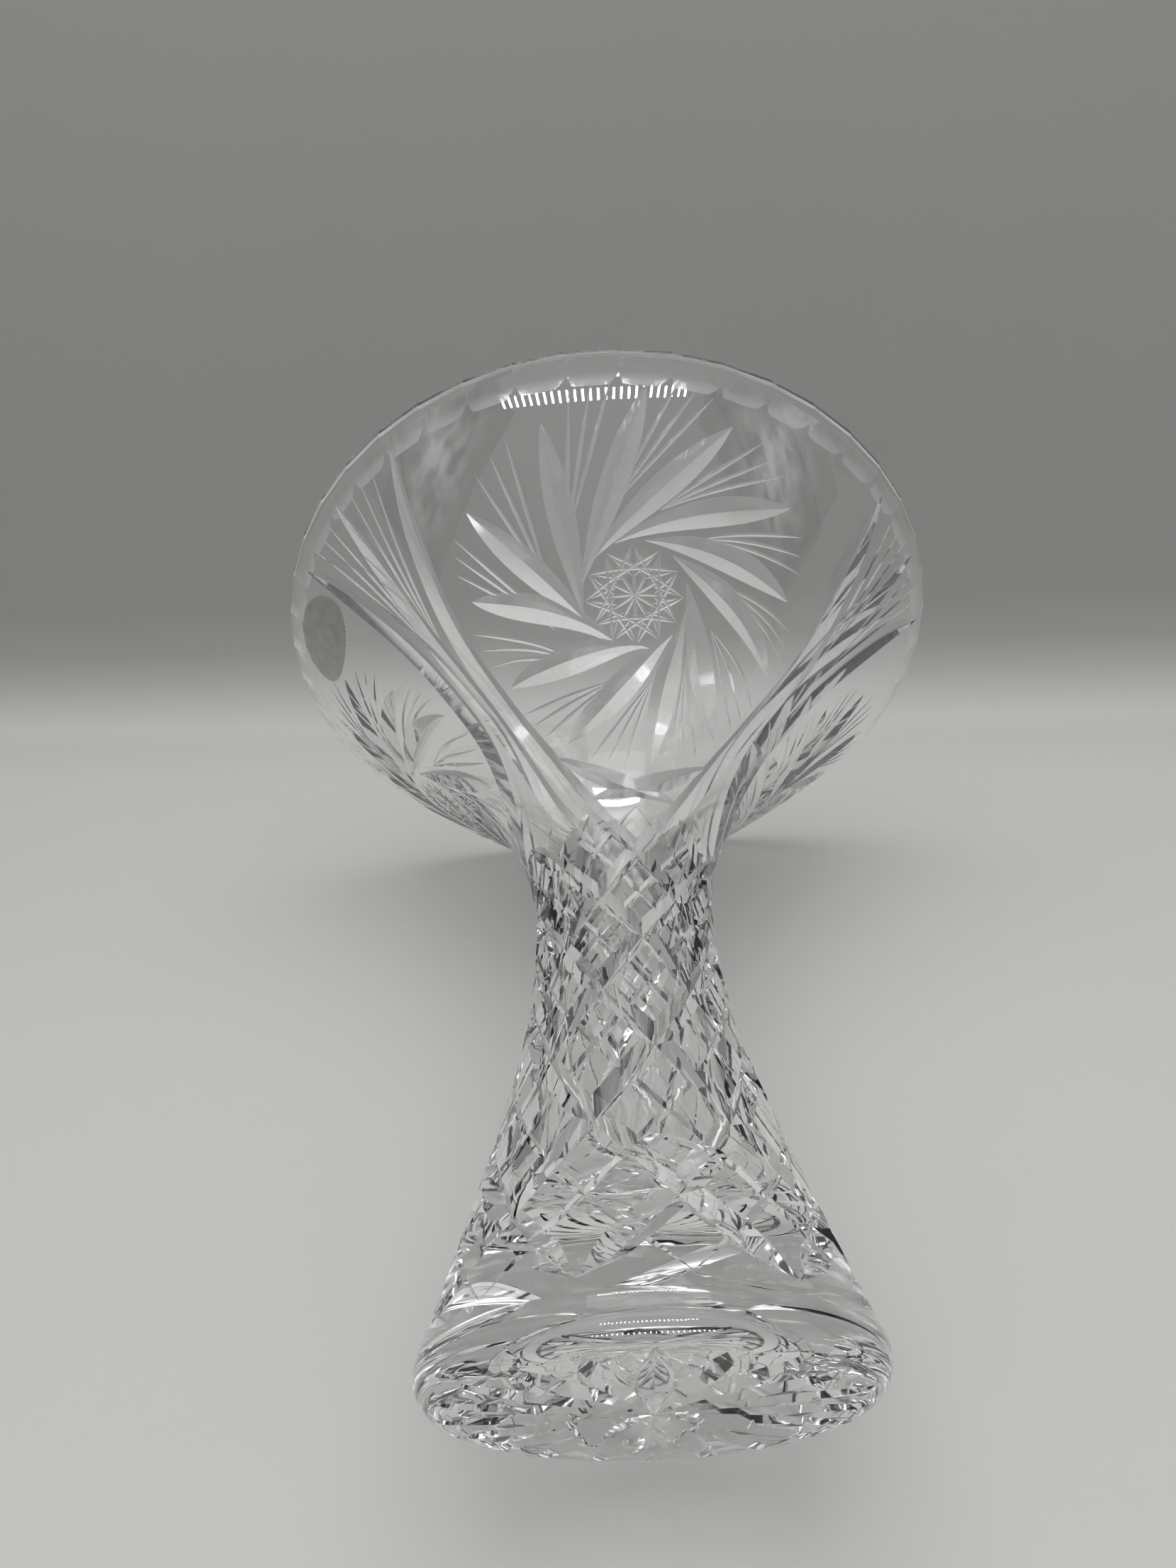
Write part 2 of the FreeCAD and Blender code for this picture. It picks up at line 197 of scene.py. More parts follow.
def blown_glass():
    outline = glass_outline()
    glass = outline_object("crystal_glass", [(point.x, 0, point.y) for point in outline])
    activate(glass)
    bpy.ops.object.mode_set(mode="EDIT")
    bpy.ops.mesh.select_all(action="SELECT")
    bpy.ops.mesh.spin(steps=TURN_STEPS, angle=math.tau, center=(0, 0, 0), axis=(0, 0, 1))
    bpy.ops.mesh.select_all(action="SELECT")
    bpy.ops.mesh.remove_doubles(threshold=0.001 * MM)
    bpy.ops.mesh.normals_make_consistent(inside=False)
    bpy.ops.object.mode_set(mode="OBJECT")
    return glass


glass = blown_glass()


# The wheel cuts. A V-edged stone wheel sinks into the wall and leaves a leaf with two polished
# facets that meet in a line. Each cut follows a route on the wall and fades out at its tips.

cuts = bpy.data.collections.new("wheel_cuts")
bpy.context.scene.collection.children.link(cuts)
PROUD = 1.2 * MM
FINE_WIDTH, FINE_DEPTH = 1.25 * MM, 0.42 * MM
wedges = {}


def wheel_wedge(sections):
    """A straight three-sided wedge one long, its edge towards +Y, ready to be bent along a route."""
    if sections not in wedges:
        deselect()
        bpy.ops.mesh.primitive_cylinder_add(vertices=3, radius=1, depth=1, end_fill_type="NGON")
        wedge = bpy.context.object
        bpy.ops.object.mode_set(mode="EDIT")
        bpy.ops.mesh.select_all(action="DESELECT")
        bpy.ops.object.mode_set(mode="OBJECT")
        for edge in wedge.data.edges:
            low, high = (wedge.data.vertices[end].co.z for end in edge.vertices)
            edge.select = abs(high - low) > 0.5
        bpy.ops.object.mode_set(mode="EDIT")
        bpy.ops.mesh.select_mode(type="EDGE")
        bpy.ops.mesh.subdivide(number_cuts=sections - 1)
        bpy.ops.object.mode_set(mode="OBJECT")
        wedges[sections] = wedge.data
        bpy.data.objects.remove(wedge)
    return wedges[sections]


def leaf(fraction, fullest=0.5, tip=0.03):
    """How full a leaf-shaped cut is along its length: pointed ends, fullest part-way."""
    shifted = fraction ** (math.log(0.5) / math.log(fullest))
    return max(math.sin(math.pi * shifted) ** 0.8 if 0 < shifted < 1 else 0, tip)


def groove(fraction, fade=0.06, tip=0.03):
    """A long cut of even width that runs out at its ends."""
    return max(min(1, fraction / fade, (1 - fraction) / fade), tip)


def v_cut(points, normals, width, depth, fullness=leaf):
    """Bends a copy of the wedge along points, its edge below the surface, its back above it."""
    last = len(points) - 1
    mesh = wheel_wedge(last).copy()
    frames = []
    for index, (point, normal) in enumerate(zip(points, normals)):
        along = (points[min(index + 1, last)] - points[max(index - 1, 0)]).normalized()
        full = fullness(index / last)
        sunk = depth * full
        half = width / 2 * full * (1 + PROUD / sunk)
        frames.append((point, normal, normal.cross(along).normalized() * half, sunk))
    for corner in mesh.vertices:
        point, normal, across, sunk = frames[round((corner.co.z + 0.5) * last)]
        if corner.co.y > 0.5:
            corner.co = point - normal * sunk
        else:
            corner.co = point + normal * PROUD - across * math.copysign(1, corner.co.x)
    cut = bpy.data.objects.new("cut", mesh)
    cuts.objects.link(cut)


def wall_cut(route, width, depth, fullness=leaf):
    """A cut on the outer wall along a route of (azimuth, height) places."""
    v_cut([OUTER.place(*spot) for spot in route], [OUTER.normal(*spot) for spot in route], width,
          depth, fullness)


def smooth_route(stops, count):
    """Places on a smooth line through (degrees, millimetres) stops."""
    stops = [Vector((math.radians(degrees), level * MM)) for degrees, level in stops]
    ends = [stops[0] * 2 - stops[1]] + stops + [stops[-1] * 2 - stops[-2]]
    route = []
    for span in range(len(stops) - 1):
        before, start, end, after = ends[span:span + 4]
        for step in range(count):
            part = step / count
            bend = (end - before) / 2, (after - start) / 2
            route.append(start * (2 * part ** 3 - 3 * part ** 2 + 1)
                         + bend[0] * (part ** 3 - 2 * part ** 2 + part)
                         + end * (3 * part ** 2 - 2 * part ** 3) + bend[1] * (part ** 3 - part ** 2))
    return route + [stops[-1]]


# The star under the foot: leaf-shaped rays, cut from the middle of the foot's flat underside out
# into its rounded heel.

STAR_RAYS, STAR_START, STAR_REACH = 20, 0.6 * MM, 50.2 * MM
STAR_WIDTH, STAR_DEPTH, STAR_FULLEST = 7.2 * MM, 2.3 * MM, 0.55
for ray in range(STAR_RAYS):
    turn = math.tau * (ray + 0.5) / STAR_RAYS
    outwards = Vector((math.sin(turn), -math.cos(turn), 0))
    points = [outwards * distance for distance in spread(STAR_START, STAR_REACH, 12)]
    v_cut(points, [Vector((0, 0, -1))] * len(points), STAR_WIDTH, STAR_DEPTH,
          lambda part: leaf(part, STAR_FULLEST))


# The diamond lattice round the stem: two sets of slanting mitre cuts that cross in rows, and a
# finer line halfway between each pair, which leaves a cross on the flat top of every diamond.

LATTICE_ROWS = (13, 31.5, 51.5, 72, 90, 106.5, 120, 134, 147.5)
LATTICE_COUNT, LATTICE_WIDTH, LATTICE_DEPTH, LATTICE_THINNING = 7, 7.6 * MM, 2.7 * MM, 0.36
HALF_PITCH = 180 / LATTICE_COUNT
CROSS_WIDTH, CROSS_DEPTH = 1.9 * MM, 0.6 * MM


def lattice_line(start, side):
    stops = [(start + side * HALF_PITCH * row, level) for row, level in enumerate(LATTICE_ROWS)]
    return smooth_route(stops, 7)


def lattice_fullness(fraction):
    """Even, but thinner towards the narrow waist, where the diamonds are smaller."""
    return (1.0 - LATTICE_THINNING * fraction) * groove(fraction, 0.04)


for place in range(LATTICE_COUNT):
    start = HALF_PITCH * (2 * place + 1)
    for side in (-1, 1):
        wall_cut(lattice_line(start, side), LATTICE_WIDTH, LATTICE_DEPTH, lattice_fullness)
        wall_cut(lattice_line(start + HALF_PITCH, side), CROSS_WIDTH, CROSS_DEPTH, groove)


# The three panels of the bowl. Each has a pinwheel of twelve leaves leaning round a small star
# in a disc, with three fine lines between each pair of leaves.

PANELS, BLADES = 3, 12
WHEEL_HEIGHT, WHEEL_TURN, DISC_RADIUS = 198 * MM, math.radians(-2.7), 14.6 * MM
BLADE_WIDTH, BLADE_DEPTH, BLADE_FULLEST = 8.6 * MM, 2.2 * MM, 0.56
TIP_TURN, BLADE_START, BLADE_LEAN = 4.5, 1.1, 77
BLADE_TIPS = ((48.8, 14.1), (42.1, 38.3), (22.5, 53.1), (1.0, 60.6), (-23.9, 51.4), (-45.5, 34.1),
              (-49.2, 10.1), (-43.3, -18.2), (-25.3, -41.0), (8.7, -49.0), (36.4, -35.0), (51.1, -8.1))
LINE_START, LINE_TURN, LINE_OVERSHOOT, LINE_PLACES = 1.73, 13, 1.09, (0.33, 0.52, 0.7)
STAR_LINE_WIDTH, TOOTH_WIDTH, TOOTH_DEPTH = FINE_WIDTH * 0.9, FINE_WIDTH * 0.8, FINE_DEPTH * 0.8
SMALL_STAR = 0.52


def around(radius, degrees):
    """A spot on a circle, from +X towards +Y."""
    return Vector((math.cos(math.radians(degrees)), math.sin(math.radians(degrees)))) * radius


def panel_spot(middle, spot):
    """The (azimuth, height) of a spot measured round and up from a panel's middle."""
    level = OUTER.climb(WHEEL_HEIGHT, spot.y)
    return Vector((middle + spot.x * 2 / (OUTER.radius(level) + OUTER.radius(WHEEL_HEIGHT)), level))


def chord(middle, start, end, count):
    """The route of a flat wheel that cuts straight from one spot of a panel to another."""
    start, end = (OUTER.place(*panel_spot(middle, spot)) for spot in (start, end))
    route = []
    for part in spread(0, 1, count):
        point = start.lerp(end, part)
        level = point.z
        for _ in range(6):
            normal = OUTER.normal(0, level)
            level = point.z + (point.xy.length - OUTER.radius(level)) * normal.z / normal.y
        route.append((math.atan2(point.x, -point.y), level))
    return route


for panel in range(PANELS):
    middle = math.tau * panel / PANELS + WHEEL_TURN
    for blade in range(BLADES):
        turn = TIP_TURN + 360 / BLADES * blade
        tip, last_tip = (Vector(BLADE_TIPS[place]) * MM for place in (blade, blade - 1))
        foot = around(BLADE_START * DISC_RADIUS, turn + BLADE_LEAN)
        wall_cut(chord(middle, foot, tip, 14), BLADE_WIDTH, BLADE_DEPTH,
                 lambda part: leaf(part, BLADE_FULLEST))
        meeting = around(LINE_START * DISC_RADIUS, turn + LINE_TURN)
        for place in LINE_PLACES:
            line_tip = tip.lerp(last_tip, place) * LINE_OVERSHOOT
            wall_cut(chord(middle, meeting, line_tip, 10), FINE_WIDTH, FINE_DEPTH)
        point = around(DISC_RADIUS, turn)
        fourth = around(DISC_RADIUS, turn + 120)
        wall_cut(chord(middle, point, fourth, 6), STAR_LINE_WIDTH, FINE_DEPTH, groove)
        fifth = around(DISC_RADIUS, turn + 150)
        for near, far in ((point, fifth), (fifth, point)):
            tooth = chord(middle, near.lerp(far, 0.06), near.lerp(far, 0.36), 3)
            wall_cut(tooth, TOOTH_WIDTH, TOOTH_DEPTH)
        if blade < BLADES // 2:
            across = around(DISC_RADIUS * SMALL_STAR, turn)
            wall_cut(chord(middle, across, -across, 6), STAR_LINE_WIDTH, FINE_DEPTH, groove)


# The fans between the panels: three long leaves rise from the lattice, close up at the neck and
# spread to the rim, with fine lines between them. A pair of crossed leaves fills each corner.

FAN_LEAF = ((60, 134), (44, 142.5), (29, 152.5), (17.3, 165), (9, 180), (7, 200), (10.3, 222),
            (15.3, 244.5))
FAN_WIDTH, FAN_DEPTH = 6.8 * MM, 2.2 * MM
MIDDLE_LEAF = ((34, 137), (22, 145), (11, 154.5), (3, 172), (0, 200), (0, 222), (0, 245))
MIDDLE_WIDTH, MIDDLE_DEPTH = 6.4 * MM, 2.1 * MM
CROSSED_LEAF = ((-42, 166), (-20, 157.5), (0, 153), (25.5, 150.5))
CROSSED_WIDTH, CROSSED_DEPTH = 6.0 * MM, 1.7 * MM
FAN_LINES, LINE_FOOT, LINE_TOP = (4, 7, 10.2), (1.0, 197), 243.5


def turned(stops, middle, side):
    return [(middle + side * degrees, level) for degrees, level in stops]


def fan_fullness(fraction):
    """A long leaf: a slow start, a quick end and a full middle."""
    ends = leaf(min(1, fraction * 3.2, (1 - fraction) * 6.5) / 2)
    return ends * (0.74 + 0.26 * math.sin(math.pi * fraction))


for panel in range(PANELS):
    fan = 360 / PANELS * (panel + 0.5)
    corner = 360 / PANELS * panel
    for side in (-1, 1):
        wall_cut(smooth_route(turned(FAN_LEAF, fan, side), 7), FAN_WIDTH, FAN_DEPTH, fan_fullness)
        for place in FAN_LINES:
            line = turned(((place, LINE_TOP), LINE_FOOT), fan, side)
            wall_cut(smooth_route(line, 12), FINE_WIDTH, FINE_DEPTH)
        wall_cut(smooth_route(turned(CROSSED_LEAF, corner, side), 6), CROSSED_WIDTH, CROSSED_DEPTH)
    wall_cut(smooth_route(turned(MIDDLE_LEAF, fan, 1), 7), MIDDLE_WIDTH, MIDDLE_DEPTH, fan_fullness)


# The rim: a flat wheel grinds a steep flat on the lip and a shallow one below it, all the way
# round. The lower flats end in scallops on the wall, and each is a little deeper at one end.

RIM_FACETS, FACET_STEP = 45, 0.2 * MM
FACET_LOW, FACET_MIDDLE, FACET_TOP = 240.5 * MM, 246.6 * MM, 252 * MM
FACET_EDGES = ((FACET_LOW, OUTER.radius(FACET_LOW) + 0.25 * MM),
               (FACET_MIDDLE, OUTER.radius(FACET_MIDDLE) - 0.28 * MM),
               (FACET_TOP, OUTER.radius(FACET_MIDDLE) + 0.35 * MM))


def rim_cutter():
    """A ring outside the rim whose inner wall is the ground flats."""
    turns = []
    for facet in range(RIM_FACETS):
        for part, deeper in ((0.02, 1), (0.5, 0.5), (0.98, 0)):
            flat = math.cos(math.pi / RIM_FACETS) / math.cos(math.tau / RIM_FACETS * (part - 0.5))
            turns.append((360 / RIM_FACETS * (facet + part), flat, deeper * FACET_STEP))
    loops = [[around(radius * flat - deeper, turn).to_3d() + Vector((0, 0, level))
              for turn, flat, deeper in turns] for level, radius in FACET_EDGES]
    for level in (FACET_TOP, FACET_LOW):
        loops.append([around(RIM_RADIUS * 1.2, turn).to_3d() + Vector((0, 0, level))
                      for turn, _, _ in turns])
    count = len(turns)
    faces = []
    for loop in range(len(loops)):
        here, ahead = loop * count, (loop + 1) % len(loops) * count
        for index in range(count):
            following = (index + 1) % count
            faces.append((here + index, ahead + index, ahead + following, here + following))
    mesh = bpy.data.meshes.new("rim_cutter")
    mesh.from_pydata([tuple(point) for loop in loops for point in loop], [], faces)
    ring = bpy.data.objects.new("rim_cutter", mesh)
    cuts.objects.link(ring)
    activate(ring)
    bpy.ops.object.mode_set(mode="EDIT")
    bpy.ops.mesh.select_all(action="SELECT")
    bpy.ops.mesh.normals_make_consistent(inside=False)
    bpy.ops.object.mode_set(mode="OBJECT")


rim_cutter()


# Grinding and polishing: all cuts are taken out of the wall. Their borders stay crisp, and the
# blown walls between them keep the smoothness of fire-polished glass.

CREASE, WALL_SLACK, ROUND_SLACK = math.radians(15), 0.12 * MM, 0.06 * MM
SAME_WAY, LEVEL_WAY = math.cos(math.radians(5)), 0.999

activate(glass)
grinding = glass.modifiers.new("wheel_cuts", "BOOLEAN")
grinding.operation = "DIFFERENCE"
grinding.operand_type = "COLLECTION"
grinding.solver = "MANIFOLD"
grinding.collection = cuts
bpy.ops.object.modifier_apply(modifier=grinding.name)
for cut in list(cuts.objects):
    bpy.data.objects.remove(cut)
bpy.data.collections.remove(cuts)


def blown_side(point, face_normal):
    """The blown wall a face lies on, with 1 outside and -1 in the cavity, or None where it is cut."""
    azimuth = math.atan2(point.x, -point.y)
    for wall, outward, start in ((OUTER, 1, HEEL_END.y), (CAVITY, -1, CORNER_END.y)):
        if point.z < start or abs(point.xy.length - wall.radius(point.z)) > WALL_SLACK:
            continue
        if (wall.normal(azimuth, point.z) * outward).dot(face_normal) > SAME_WAY:
            return wall, outward
    return None


def on_round(point):
    """Whether a point lies on the rounded heel, the rounded corner of the cavity or the lip."""
    spot = Vector((point.xy.length, point.z))
    rounds = (HEEL, FOOT_ROUND), (CORNER, CAVITY_ROUND), (LIP, LIP_ROUND)
    return any(abs((spot - middle).length - radius) < ROUND_SLACK for middle, radius in rounds)


def polish(piece):
    """Marks the ground faces, and gives the blown ones the true normals of their wall."""
    activate(piece)
    bpy.ops.object.shade_smooth_by_angle(angle=CREASE)
    mesh = piece.data
    normals = [(0, 0, 0)] * len(mesh.loops)
    ground = mesh.attributes.new("ground", "FLOAT", "FACE")
    for face in mesh.polygons:
        found = blown_side(face.center, face.normal)
        blown = found or abs(face.normal.z) > LEVEL_WAY or on_round(face.center)
        ground.data[face.index].value = 0 if blown else 1
        if found:
            wall, outward = found
            for loop in face.loop_indices:
                point = mesh.vertices[mesh.loops[loop].vertex_index].co
                normals[loop] = wall.normal(math.atan2(point.x, -point.y), point.z) * outward
    mesh.normals_split_custom_set([tuple(normal) for normal in normals])


polish(glass)


# What the glass is: clear lead crystal, a little grey-green in the thick. Acid polishing leaves
# faint waves on the ground facets, and those of the bowl keep some of the wheel's frost.

WIDE_WAVE, FINE_WAVE, WAVE_HEIGHT = 26 * MM, 3.2 * MM, 0.05 * MM
FROST_START, FROST_FULL, LIP_START, LIP_FULL = 136 * MM, 150 * MM, 241.5 * MM, 243.5 * MM
CRYSTAL, FROST = (0.985, 0.992, 0.988, 1), (0.86, 0.875, 0.865, 1)


class Signal:
    """A value on its way through a finish. Python's operators add its Math nodes."""

    def __init__(self, finish, socket):
        self.finish, self.socket = finish, socket

    def maths(self, operation, first, second):
        return self.finish.node("ShaderNodeMath", {"operation": operation}, {0: first, 1: second})

    def __add__(self, other):
        return self.maths("ADD", self, other)

    def __radd__(self, other):
        return self.maths("ADD", other, self)

    def __sub__(self, other):
        return self.maths("SUBTRACT", self, other)

    def __rsub__(self, other):
        return self.maths("SUBTRACT", other, self)

    def __mul__(self, other):
        return self.maths("MULTIPLY", self, other)

    def __rmul__(self, other):
        return self.maths("MULTIPLY", other, self)


class Finish:
    """A material, or the world, and the nodes that make its look."""

    def __init__(self, holder):
        self.tree = holder.node_tree
        self.tree.nodes.clear()

    def node(self, kind, settings=None, values=None, output=0):
        made = self.tree.nodes.new(kind)
        for name, setting in (settings or {}).items():
            if name == "stops":
                stops = made.color_ramp.elements
                for place, shade in setting[1:-1]:
                    stops.new(place)
                for stop, (place, shade) in zip(stops, setting):
                    stop.position = place
                    stop.color = (*shade, 1) if isinstance(shade, tuple) else (shade, shade, shade, 1)
            else:
                setattr(made, name, setting)
        for name, value in (values or {}).items():
            if isinstance(value, Signal):
                self.tree.links.new(value.socket, made.inputs[name])
            else:
                made.inputs[name].default_value = value
        return Signal(self, made.outputs[output] if made.outputs else None)

    def measure(self, operation, first, second):
        """A number from two vectors, such as their distance."""
        return self.node("ShaderNodeVectorMath", {"operation": operation}, {0: first, 1: second}, "Value")

    def surface(self, shader):
        self.node("ShaderNodeOutputMaterial", {}, {"Surface": shader})


def new_finish(name):
    material = bpy.data.materials.new(name)
    material.use_nodes = True
    return material, Finish(material)


def ripples(finish, size, detail=2.0):
    """Soft noise over the piece, with bumps about size apart."""
    place = finish.node("ShaderNodeTexCoord", output="Object")
    values = {"Vector": place, "Scale": 1 / size, "Detail": detail}
    return finish.node("ShaderNodeTexNoise", {}, values, "Fac")


def lead_crystal():
    crystal, finish = new_finish("lead_crystal")
    ground = finish.node("ShaderNodeAttribute", {"attribute_name": "ground"}, output="Fac")
    waves = ripples(finish, WIDE_WAVE) * 0.6 + ground * ripples(finish, FINE_WAVE) * 0.14
    polished = finish.node("ShaderNodeBump", {}, {"Strength": 0.35, "Distance": WAVE_HEIGHT, "Height": waves})
    place = finish.node("ShaderNodeTexCoord", output="Object")
    level = finish.node("ShaderNodeSeparateXYZ", {}, {0: place}, "Z")
    satin = finish.node("ShaderNodeMapRange", {}, {0: level, 1: FROST_START, 2: FROST_FULL})
    lip = finish.node("ShaderNodeMapRange", {}, {0: level, 1: LIP_START, 2: LIP_FULL, 3: 1.0, 4: 0.12})
    roughness = 0.006 + ground * lip * (0.03 + 0.05 * satin + 0.03 * ripples(finish, 5 * MM))
    clear = finish.node("ShaderNodeBsdfPrincipled", {}, {
        "Base Color": CRYSTAL, "Roughness": roughness, "IOR": 1.545, "Transmission Weight": 1.0,
        "Normal": polished})
    frost = finish.node("ShaderNodeBsdfPrincipled", {}, {
        "Base Color": FROST, "Roughness": 0.5, "Normal": polished})
    frosting = ground * satin * lip * (0.1 + 0.22 * ripples(finish, 1.6 * MM, 4))
    finish.surface(finish.node("ShaderNodeMixShader", {}, {0: frosting, 1: clear, 2: frost}))
    return crystal


glass.data.materials.clear()
glass.data.materials.append(lead_crystal())
for face in glass.data.polygons:
    face.material_index = 0
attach(glass, "root")
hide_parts("crystal_body")


# The paper label: a serrated oval glued inside the bowl. Its glued back shows through the glass,
# and its face, with a thin printed border, looks into the bowl.

LABEL_AZIMUTH, LABEL_LEVEL, LABEL_TILT = math.radians(-87), 237.8 * MM, math.radians(-8)
LABEL_HALF_LENGTH, LABEL_HALF_WIDTH = 18.6 * MM, 11.6 * MM
LABEL_TEETH, LABEL_TOOTH, LABEL_THICKNESS, GLUE = 58, 0.055, 0.16 * MM, 0.04 * MM
LABEL_RINGS = (0.94, 0.8, 0.75, 0.66, 0.5)
BACK_STOPS = ((0.3, (0.30, 0.29, 0.26)), (0.5, (0.37, 0.36, 0.325)), (0.72, (0.43, 0.42, 0.385)))
FACE_STOPS = ((0.3, (0.70, 0.68, 0.62)), (0.7, (0.78, 0.76, 0.70)))
BORDER_STOPS = ((0.0, 0), (0.40, 0), (0.405, 1), (0.43, 1), (0.435, 0), (1.0, 0))
GILT = (0.55, 0.43, 0.18, 1)


def paper_label():
    deselect()
    bpy.ops.mesh.primitive_circle_add(vertices=LABEL_TEETH * 4, radius=1, fill_type="NOTHING")
    label = bpy.context.object
    label.name = "label_paper"
    for corner in label.data.vertices:
        tooth = math.cos(LABEL_TEETH * math.atan2(corner.co.y, corner.co.x))
        corner.co *= 1 + LABEL_TOOTH * (tooth - 1) / 2
    bpy.ops.object.mode_set(mode="EDIT")
    bpy.ops.mesh.select_all(action="SELECT")
    for shrink in LABEL_RINGS:
        bpy.ops.mesh.extrude_edges_move()
        bpy.ops.transform.resize(value=(shrink, shrink, 1))
    bpy.ops.mesh.extrude_edges_move()
    bpy.ops.mesh.merge(type="CENTER")
    bpy.ops.object.mode_set(mode="OBJECT")
    sheet = label.data.uv_layers.new(name="label")
    for loop in label.data.loops:
        spot = label.data.vertices[loop.vertex_index].co
        sheet.data[loop.index].uv = (0.5 + spot.x / 2, 0.5 + spot.y / 2)
    tilt = Matrix.Rotation(LABEL_TILT, 2)
    for corner in label.data.vertices:
        spot = tilt @ Vector((corner.co.x * LABEL_HALF_LENGTH, corner.co.y * LABEL_HALF_WIDTH))
        level = CAVITY.climb(LABEL_LEVEL, spot.y)
        azimuth = LABEL_AZIMUTH + spot.x / CAVITY.radius(level)
        corner.co = CAVITY.place(azimuth, level, -GLUE)
    activate(label)
    bpy.ops.object.mode_set(mode="EDIT")
    bpy.ops.mesh.select_all(action="SELECT")
    bpy.ops.mesh.normals_make_consistent(inside=False)
    bpy.ops.object.mode_set(mode="OBJECT")
    if label.data.polygons[0].normal.dot(CAVITY.normal(LABEL_AZIMUTH, LABEL_LEVEL)) < 0:
        label.data.flip_normals()
    return label


label = paper_label()


def glued_back():
    paper, finish = new_finish("label_glued_back")
    mottle = ripples(finish, 4 * MM, 5)
    shade = finish.node("ShaderNodeValToRGB", {"stops": BACK_STOPS}, {"Fac": mottle})
    fibres = finish.node("ShaderNodeBump", {}, {
        "Strength": 0.4, "Distance": 0.05 * MM, "Height": ripples(finish, 0.6 * MM, 4)})
    finish.surface(finish.node("ShaderNodeBsdfPrincipled", {}, {
        "Base Color": shade, "Roughness": 0.55 + 0.25 * mottle, "Normal": fibres}))
    return paper


def printed_face():
    paper, finish = new_finish("label_printed_face")
    spot = finish.node("ShaderNodeUVMap", {"uv_map": "label"})
    away = finish.measure("DISTANCE", spot, (0.5, 0.5, 0))
    border = finish.node("ShaderNodeValToRGB", {"stops": BORDER_STOPS}, {"Fac": away})
    shade = finish.node("ShaderNodeValToRGB", {"stops": FACE_STOPS}, {"Fac": ripples(finish, 3 * MM, 4)})
    colour = finish.node("ShaderNodeMix", {"data_type": "RGBA"}, {0: border, 6: shade, 7: GILT}, 2)
    finish.surface(finish.node("ShaderNodeBsdfPrincipled", {}, {
        "Base Color": colour, "Roughness": 0.5 - 0.2 * border, "Metallic": border * 0.9}))
    return paper


label.data.materials.append(glued_back())
label.data.materials.append(printed_face())
paper = label.modifiers.new("paper", "SOLIDIFY")
paper.thickness = LABEL_THICKNESS
paper.offset = -1
paper.material_offset = 1
bpy.ops.object.modifier_apply(modifier=paper.name)
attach(label, "root")
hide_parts("paper_label")


# The stage: a pale sheet that touches the vase's side at rim and foot, as if it lay there, and
# sweeps up behind the rim. The sheet is clear from behind, so that the vase shows from every side.

TABLE_TURN = Matrix.Rotation(math.radians(-10.5), 3, "Z")
TABLE_POINT = TABLE_TURN @ Vector((0, 0.205, 0.02)) * HEIGHT
TABLE_UP = TABLE_TURN @ Vector((0, -0.9687, 0.2482))
TABLE_ALONG = TABLE_TURN @ Vector((0, 0.2482, 0.9687))
TABLE_ALONG.rotate(Matrix.Rotation(math.radians(-5), 3, TABLE_UP))
TABLE_ACROSS = TABLE_ALONG.cross(TABLE_UP)
SWEEP_START, SWEEP_RADIUS = 1.36 * HEIGHT, 0.14 * HEIGHT
SHEET_HALF_WIDTH, SHEET_NEAR, SHEET_TOP = 1.4, -0.9, 1.6
UP_THE_SHEET = TABLE_ALONG + TABLE_UP
CARD = (0.78, 0.785, 0.765)
# Painted shade: the sheet's colour falls from the pale card to darker greys up the sweep behind the rim,
# where less light reaches, and is a little lighter again at the top.
CARD_PAINTED_SHADE_STOPS = ((0.0, CARD), (0.305, CARD), (0.355, (0.70, 0.71, 0.695)), (0.392, (0.50, 0.51, 0.495)),
              (0.435, (0.385, 0.39, 0.38)), (0.52, (0.375, 0.38, 0.37)), (1.0, (0.40, 0.405, 0.39)))


def pale_sheet():
    profile = [Vector((SHEET_NEAR, 0))]
    corner = Vector((SWEEP_START, SWEEP_RADIUS))
    profile += swept(corner, SWEEP_RADIUS, -math.pi / 2, 0, 24)
    profile += [Vector((SWEEP_START + SWEEP_RADIUS, SHEET_TOP))]
    side = TABLE_POINT - TABLE_ACROSS * SHEET_HALF_WIDTH
    points = [side + TABLE_ALONG * spot.x + TABLE_UP * spot.y for spot in profile]
    sheet = outline_object("pale_sheet", points)
    activate(sheet)
    bpy.ops.object.mode_set(mode="EDIT")
    bpy.ops.mesh.select_all(action="SELECT")
    width = TABLE_ACROSS * 2 * SHEET_HALF_WIDTH
    bpy.ops.mesh.extrude_edges_move(TRANSFORM_OT_translate={"value": width})
    bpy.ops.object.mode_set(mode="OBJECT")
    if sheet.data.polygons[0].normal.dot(TABLE_UP) < 0:
        sheet.data.flip_normals()
    bpy.ops.object.shade_smooth()
    return sheet


sheet = pale_sheet()
card, finish = new_finish("pale_card_painted_shade")
place = finish.node("ShaderNodeTexCoord", output="Object")
run = finish.measure("DOT_PRODUCT", place, tuple(UP_THE_SHEET))
# The ramp paints shade into the card's colour along the sheet, darker on the upright part of the sweep.
grey = finish.node("ShaderNodeValToRGB", {"stops": CARD_PAINTED_SHADE_STOPS}, {"Fac": run - TABLE_POINT.dot(UP_THE_SHEET)})
front = finish.node("ShaderNodeBsdfDiffuse", {}, {"Color": grey})
behind = finish.node("ShaderNodeBsdfTransparent")
side = finish.node("ShaderNodeNewGeometry", output="Backfacing")
finish.surface(finish.node("ShaderNodeMixShader", {}, {0: side, 1: front, 2: behind}))
sheet.data.materials.append(card)


# The lights: a soft tent, a panel above the table, a low panel on each side that shows in the
# bowl, and double rows of small lamps that show as strings of sparks in the rim and the foot.

